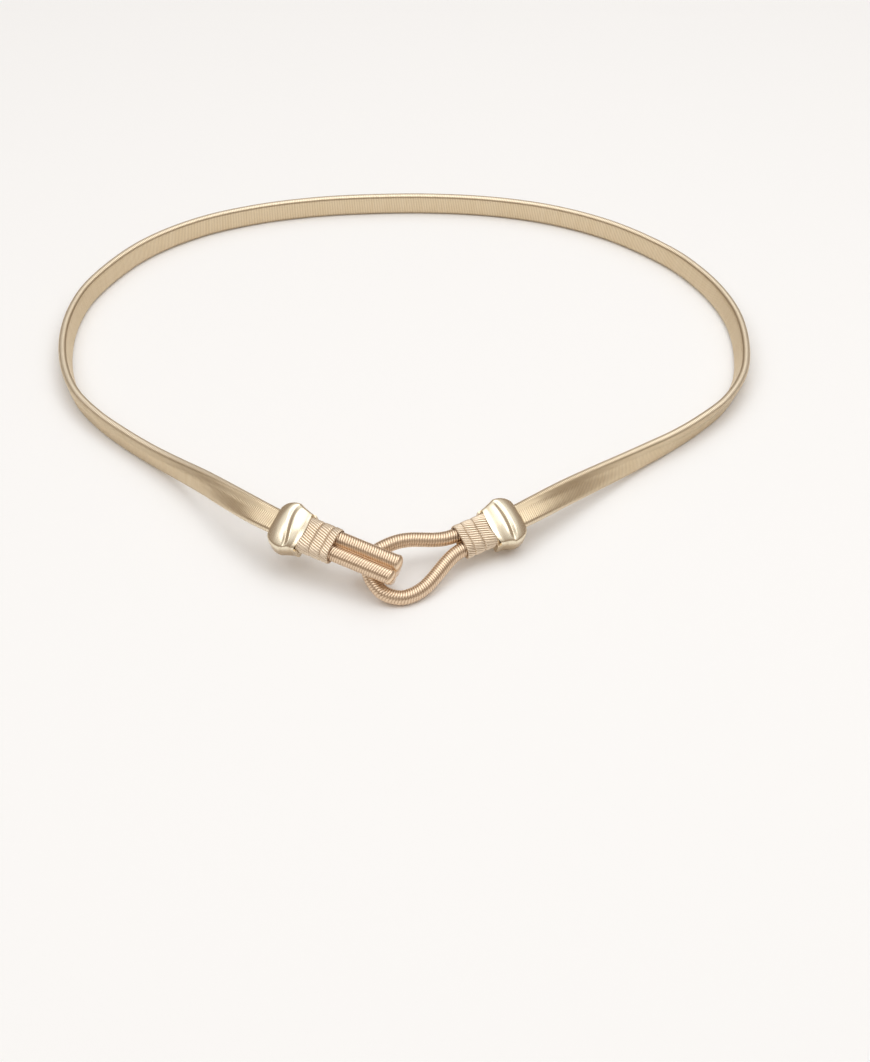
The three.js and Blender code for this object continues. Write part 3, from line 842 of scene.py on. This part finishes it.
class Wire:
    """A shader socket that takes part in ordinary Python sums."""

    def __init__(self, tree, socket):
        self.tree = tree
        self.socket = socket

    def sum_with(self, operation, first, second):
        inputs = {0: first, 1: second}
        return add_node(self.tree, "ShaderNodeMath", {"operation": operation}, inputs)

    def __add__(self, other):
        return self.sum_with("ADD", self, other)

    __radd__ = __add__

    def __mul__(self, other):
        return self.sum_with("MULTIPLY", self, other)

    __rmul__ = __mul__

    def __sub__(self, other):
        return self.sum_with("SUBTRACT", self, other)

    def __rsub__(self, other):
        return self.sum_with("SUBTRACT", other, self)

    def __pow__(self, other):
        return self.sum_with("POWER", self, other)


def feed(tree, socket, value):
    """Links a wire to a socket, or sets its plain value."""
    if isinstance(value, Wire):
        tree.links.new(value.socket, socket)
    else:
        socket.default_value = value


def add_node(tree, kind, settings=None, inputs=None, output=0):
    """Adds a node: its settings come first, then the values or links of its sockets."""
    made = tree.nodes.new(kind)
    for key, value in (settings or {}).items():
        setattr(made, key, value)
    for key, value in (inputs or {}).items():
        feed(tree, made.inputs[key], value)
    return Wire(tree, made.outputs[output])


class Finish:
    """A node material for one finish of the belt."""

    def __init__(self, name):
        self.material = bpy.data.materials.new(name)
        self.material.use_nodes = True
        self.tree = self.material.node_tree
        self.tree.nodes.clear()
        self.surface = self.tree.nodes.new("ShaderNodeBsdfPrincipled")
        output = self.tree.nodes.new("ShaderNodeOutputMaterial")
        self.tree.links.new(self.surface.outputs["BSDF"], output.inputs["Surface"])

    def field(self, name):
        """A value kept on the mesh, such as how deep a point lies in a groove."""
        return add_node(self.tree, "ShaderNodeAttribute", {"attribute_name": name}, output="Fac")

    def noise(self, scale, detail):
        """Cloudy values from 0 to 1. The scale counts the clouds in a metre."""
        place = add_node(self.tree, "ShaderNodeTexCoord", output="Object")
        inputs = {"Vector": place, "Scale": scale, "Detail": detail}
        return add_node(self.tree, "ShaderNodeTexNoise", inputs=inputs)

    def blend(self, share, first, second):
        """A colour between two, by a share from 0 to 1."""
        settings = {"data_type": "RGBA", "clamp_factor": True}
        inputs = {0: share, 6: first, 7: second}
        return add_node(self.tree, "ShaderNodeMix", settings, inputs, output=2)

    def bump(self, height, strength, distance):
        """A fine relief. Its distance is in metres."""
        inputs = {"Strength": strength, "Distance": distance, "Height": height}
        return add_node(self.tree, "ShaderNodeBump", inputs=inputs)

    def set(self, **values):
        names = {"colour": "Base Color", "metal": "Metallic", "rough": "Roughness", "normal": "Normal"}
        for key, value in values.items():
            feed(self.tree, self.surface.inputs[names[key]], value)
        return self.material


def coil_finish():
    """Satin gold wire: painted shade between the turns, a painted dark line along each shoulder and a
    painted highlight toward the rounded edges; slightly uneven from turn to turn.
    """
    finish = Finish("satin_gold_wire")
    groove, tone, edge = finish.field("groove"), finish.field("tone"), finish.field("edge")
    cloud = finish.noise(scale=45.0, detail=3.0)
    gold, deep, pale = (0.79, 0.65, 0.45, 1), (0.40, 0.28, 0.15, 1), (0.93, 0.84, 0.69, 1)
    # Painted shade: the colour darkens toward deep in the grooves between the turns.
    colour = finish.blend(groove * 0.75, gold, deep)
    # Painted dark reflection: a thin dark line along each shoulder of the band, where its flat face
    # turns into the rounded edge.
    shoulder_place, shoulder_sharpness = 0.785, 90
    from_shoulder = edge - shoulder_place
    shoulder = 0.5 - from_shoulder * from_shoulder * shoulder_sharpness
    colour = finish.blend(shoulder, colour, deep)
    # Painted highlight: the colour turns pale toward the band's rounded edges.
    colour = finish.blend(edge ** 6 * 0.5, colour, pale)
    colour = finish.blend(tone * 0.06 + cloud * 0.12, colour, pale)
    rough = 0.27 + groove * 0.15 + cloud * 0.08
    grain = finish.bump(finish.noise(scale=2500.0, detail=2.0), strength=0.12, distance=0.00004)
    return finish.set(colour=colour, metal=1.0, rough=rough, normal=grain)


def polished_finish():
    """Polished pale gold casting, with faint clouding and painted shade from its groove field."""
    finish = Finish("polished_pale_gold")
    groove = finish.field("groove")
    cloud = finish.noise(scale=160.0, detail=3.0)
    gold, deep = (0.88, 0.78, 0.60, 1), (0.56, 0.42, 0.27, 1)
    # Painted shade: the colour darkens toward deep where the groove field holds the caps' painted
    # shade.
    colour = finish.blend(groove * 0.8, gold, deep)
    rough = 0.2 + cloud * 0.06 + groove * 0.12
    ripple = finish.bump(finish.noise(scale=420.0, detail=1.0), strength=0.1, distance=0.0002)
    return finish.set(colour=colour, metal=1.0, rough=rough, normal=ripple)


def ribbed_finish(name, gold, deep):
    """Polished ribs in one shade of gold, with painted shade in their grooves."""
    finish = Finish(name)
    groove = finish.field("groove")
    cloud = finish.noise(scale=260.0, detail=3.0)
    # Painted shade: the colour darkens toward deep in the grooves between the ribs, in the seams and in
    # the sleeves' holes.
    colour = finish.blend(groove ** 1.1 * 0.9, gold, deep)
    rough = 0.24 + cloud * 0.08 + groove * 0.15
    grain = finish.bump(finish.noise(scale=1500.0, detail=2.0), strength=0.12, distance=0.00008)
    return finish.set(colour=colour, metal=1.0, rough=rough, normal=grain)


# Stage, light and camera

def pale_floor():
    half_size = 6.0
    mesh = bpy.data.meshes.new("pale_floor")
    corners = [(-half_size, -half_size, 0), (half_size, -half_size, 0),
               (half_size, half_size, 0), (-half_size, half_size, 0)]
    mesh.from_pydata(corners, [], [(0, 1, 2, 3)])
    floor = bpy.data.objects.new("pale_floor", mesh)
    bpy.context.scene.collection.objects.link(floor)
    finish = Finish("white_board")
    mesh.materials.append(finish.set(colour=(0.97, 0.97, 0.965, 1), metal=0.0, rough=0.9))


def soft_box(name, at, target, size, glow):
    light = bpy.data.lights.new(name, "AREA")
    light.shape = "RECTANGLE"
    light.size, light.size_y = size
    light.energy = glow * math.pi * size[0] * size[1]
    lamp = bpy.data.objects.new(name, light)
    bpy.context.scene.collection.objects.link(lamp)
    lamp.location = at
    lamp.rotation_euler = (Vector(target) - Vector(at)).to_track_quat("-Z", "Y").to_euler()


def studio_sky():
    """A soft sky that is bright overhead and dim near the horizon."""
    world = bpy.data.worlds.new("studio")
    world.use_nodes = True
    tree = world.node_tree
    tree.nodes.clear()
    direction = add_node(tree, "ShaderNodeTexCoord", output="Generated")
    height = add_node(tree, "ShaderNodeSeparateXYZ", inputs={"Vector": direction}, output="Z")
    ramp = tree.nodes.new("ShaderNodeValToRGB")
    feed(tree, ramp.inputs["Fac"], height)
    for stop, (position, colour) in zip(ramp.color_ramp.elements, SKY_STOPS):
        stop.position = position
        stop.color = colour
    colour = Wire(tree, ramp.outputs["Color"])
    sky = add_node(tree, "ShaderNodeBackground", inputs={"Color": colour, "Strength": 1.0})
    output = tree.nodes.new("ShaderNodeOutputWorld")
    feed(tree, output.inputs["Surface"], sky)
    bpy.context.scene.world = world


def studio_light():
    """The sky and the soft boxes."""
    studio_sky()
    for box in SOFT_BOXES:
        soft_box(*box)


def photo_camera():
    camera_data = bpy.data.cameras.new("photo_camera")
    focal_pixels = PIXELS_PER_MM * VIEW_DISTANCE
    camera_data.sensor_width = SENSOR_MM
    camera_data.lens = focal_pixels * SENSOR_MM / max(PHOTO_WIDTH, PHOTO_HEIGHT)
    camera = bpy.data.objects.new("photo_camera", camera_data)
    bpy.context.scene.collection.objects.link(camera)
    rise = math.radians(VIEW_ELEVATION)
    toward_camera = np.array([0, -math.cos(rise), math.sin(rise)])
    aim = -OUTLINE_MIDDLE * [1, 1, 0]
    camera.location = (aim + toward_camera * VIEW_DISTANCE) * MM
    camera.rotation_euler = (math.pi / 2 - rise, 0, 0)
    bpy.context.scene.camera = camera
    bpy.context.scene.view_settings.view_transform = "Standard"


def dress(piece, node, finish):
    """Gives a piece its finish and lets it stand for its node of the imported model."""
    piece.data.materials.append(finish)
    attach(piece, "root")
    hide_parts(node)


def main():
    coil, polished = coil_finish(), polished_finish()
    # Each deep colour is the painted shade in the grooves, seams and holes.
    rose = ribbed_finish("rose_gold_ribs", gold=(0.83, 0.65, 0.47, 1), deep=(0.30, 0.16, 0.08, 1))
    pale = ribbed_finish("pale_gold_ribs", gold=(0.85, 0.72, 0.56, 1), deep=(0.50, 0.35, 0.22, 1))
    hook_half = ((HOOK_SPACING + HOOK_BAR) / 2, HOOK_BAR / 2)
    loop_half = ((LOOP_SPACING + LOOP_BAR) / 2, LOOP_BAR / 2)
    dress(coil_band(), "coil_band", coil)
    left_cap = end_cap("left_cast_cap", LEFT_HALF, *hook_half, **LEFT_CAP)
    right_cap = end_cap("right_cast_cap", RIGHT_HALF, *loop_half, **RIGHT_CAP)
    left_sleeve = sleeve("left_knot_sleeve", LEFT_HALF, *hook_half, **LEFT_SLEEVE)
    right_sleeve = sleeve("right_knot_sleeve", RIGHT_HALF, *loop_half, **RIGHT_SLEEVE)
    dress(left_cap, "left_end_cap", polished)
    dress(right_cap, "right_end_cap", polished)
    dress(left_sleeve, "left_sleeve", pale)
    dress(right_sleeve, "right_sleeve", pale)
    dress(hook(), "hook", rose)
    dress(loop(), "loop", rose)
    pale_floor()
    studio_light()
    photo_camera()


main()
